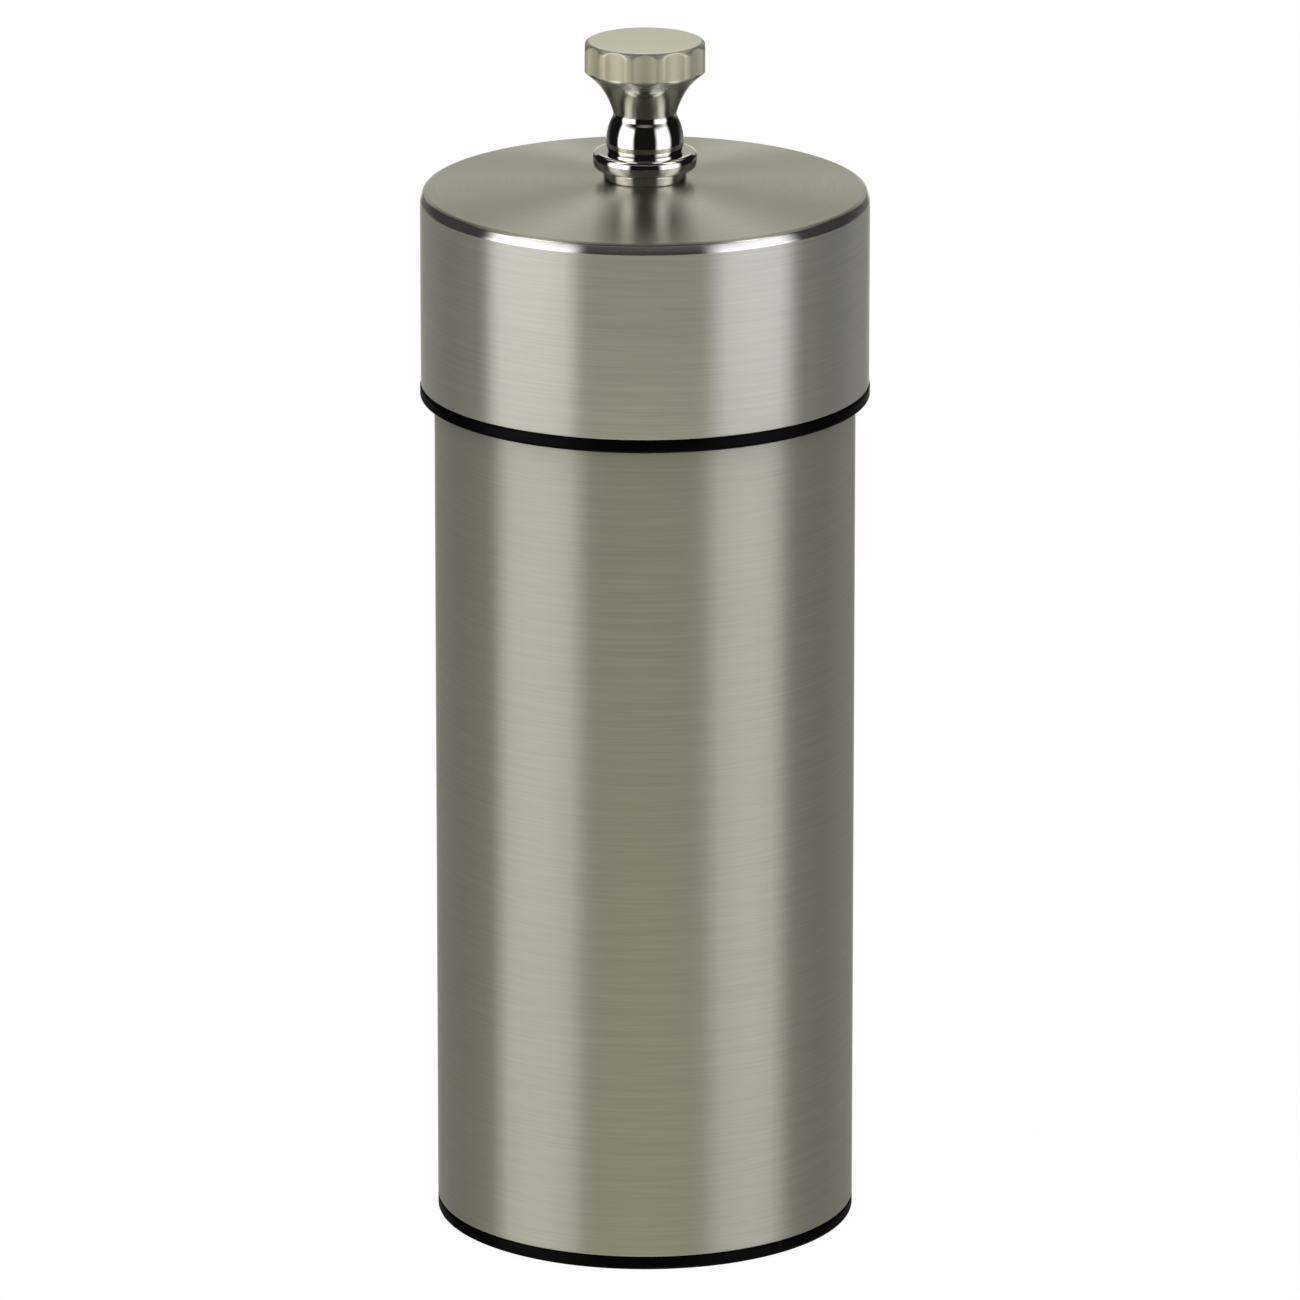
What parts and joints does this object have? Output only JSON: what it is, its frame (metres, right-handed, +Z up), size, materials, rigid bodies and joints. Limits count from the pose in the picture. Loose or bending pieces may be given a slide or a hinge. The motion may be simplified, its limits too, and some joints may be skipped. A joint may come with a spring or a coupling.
{
  "type": "salt mill",
  "caption": "Tall twist-top salt mill with a brushed steel body and head, black rings, a fluted knob that sets the grind, a square shaft and ceramic burrs.",
  "frame": {"origin": "centre of the base, on the surface that the mill stands on", "axes": "+Z up along the mill's axis, -Y towards the picture's viewer"},
  "size_m": [0.0534, 0.0534, 0.1444],
  "materials": {
    "steel_body": "brushed round",
    "steel_head": "brushed round",
    "liner_plastic": "matte",
    "base_plastic": "matte",
    "ring_plastic": "satin gloss",
    "housing_plastic": "matte",
    "nylon": "satin",
    "burr_ceramic": "fired, matte",
    "screw_steel": "plain",
    "spring_steel": "drawn wire",
    "washer_steel": "stamped",
    "shaft_steel": "drawn bar",
    "chrome": "polished"
  },
  "bodies": {
    "body": {"body_tube": "steel_body", "salt_liner": "liner_plastic", "base_ring": "base_plastic", "grinder_housing": "housing_plastic", "shaft_bush": "nylon", "stator_burr": "burr_ceramic", "base_screws": "screw_steel", "burr_spring": "spring_steel"},
    "thrust": {"thrust_washer": "washer_steel"},
    "drive": {"drive_shaft": "shaft_steel", "rotor_burr": "burr_ceramic", "rotor_washer": "washer_steel", "rotor_screw": "screw_steel"},
    "glide": {"glide_ring": "nylon"},
    "head": {"head_shell": "steel_head", "head_core": "ring_plastic", "drive_plate": "washer_steel", "plate_screws": "screw_steel"},
    "knob_foot": {"knob_washer": "chrome"},
    "knob": {"knob": "chrome"}
  },
  "joints": [
    {"name": "head_lift", "type": "slide", "parent": "body", "child": "glide", "axis": [0, 0, 1], "range_m": [0, 0.06]},
    {"name": "head_turn", "type": "hinge", "parent": "glide", "child": "head", "pos_m": [0, 0, 0.10135], "axis": [0, 0, 1], "continuous": true},
    {"name": "knob_lift", "type": "slide", "parent": "head", "child": "knob_foot", "axis": [0, 0, 1], "range_m": [0, 0.02]},
    {"name": "knob_turn", "type": "hinge", "parent": "knob_foot", "child": "knob", "pos_m": [0, 0, 0.12905], "axis": [0, 0, 1], "range_deg": [-540, 0]},
    {"name": "burr_gap", "type": "slide", "parent": "body", "child": "thrust", "axis": [0, 0, 1], "range_m": [0, 0.0012], "deforming": ["burr_spring"]},
    {"name": "shaft_turn", "type": "hinge", "parent": "thrust", "child": "drive", "pos_m": [0, 0, 0.0224], "axis": [0, 0, 1], "continuous": true}
  ],
  "couplings": [
    {"joint": "shaft_turn", "follows": "head_turn", "ratio": 1},
    {"joint": "burr_gap", "follows": "knob_turn", "m_per_rad": -0.00012732}
  ]
}
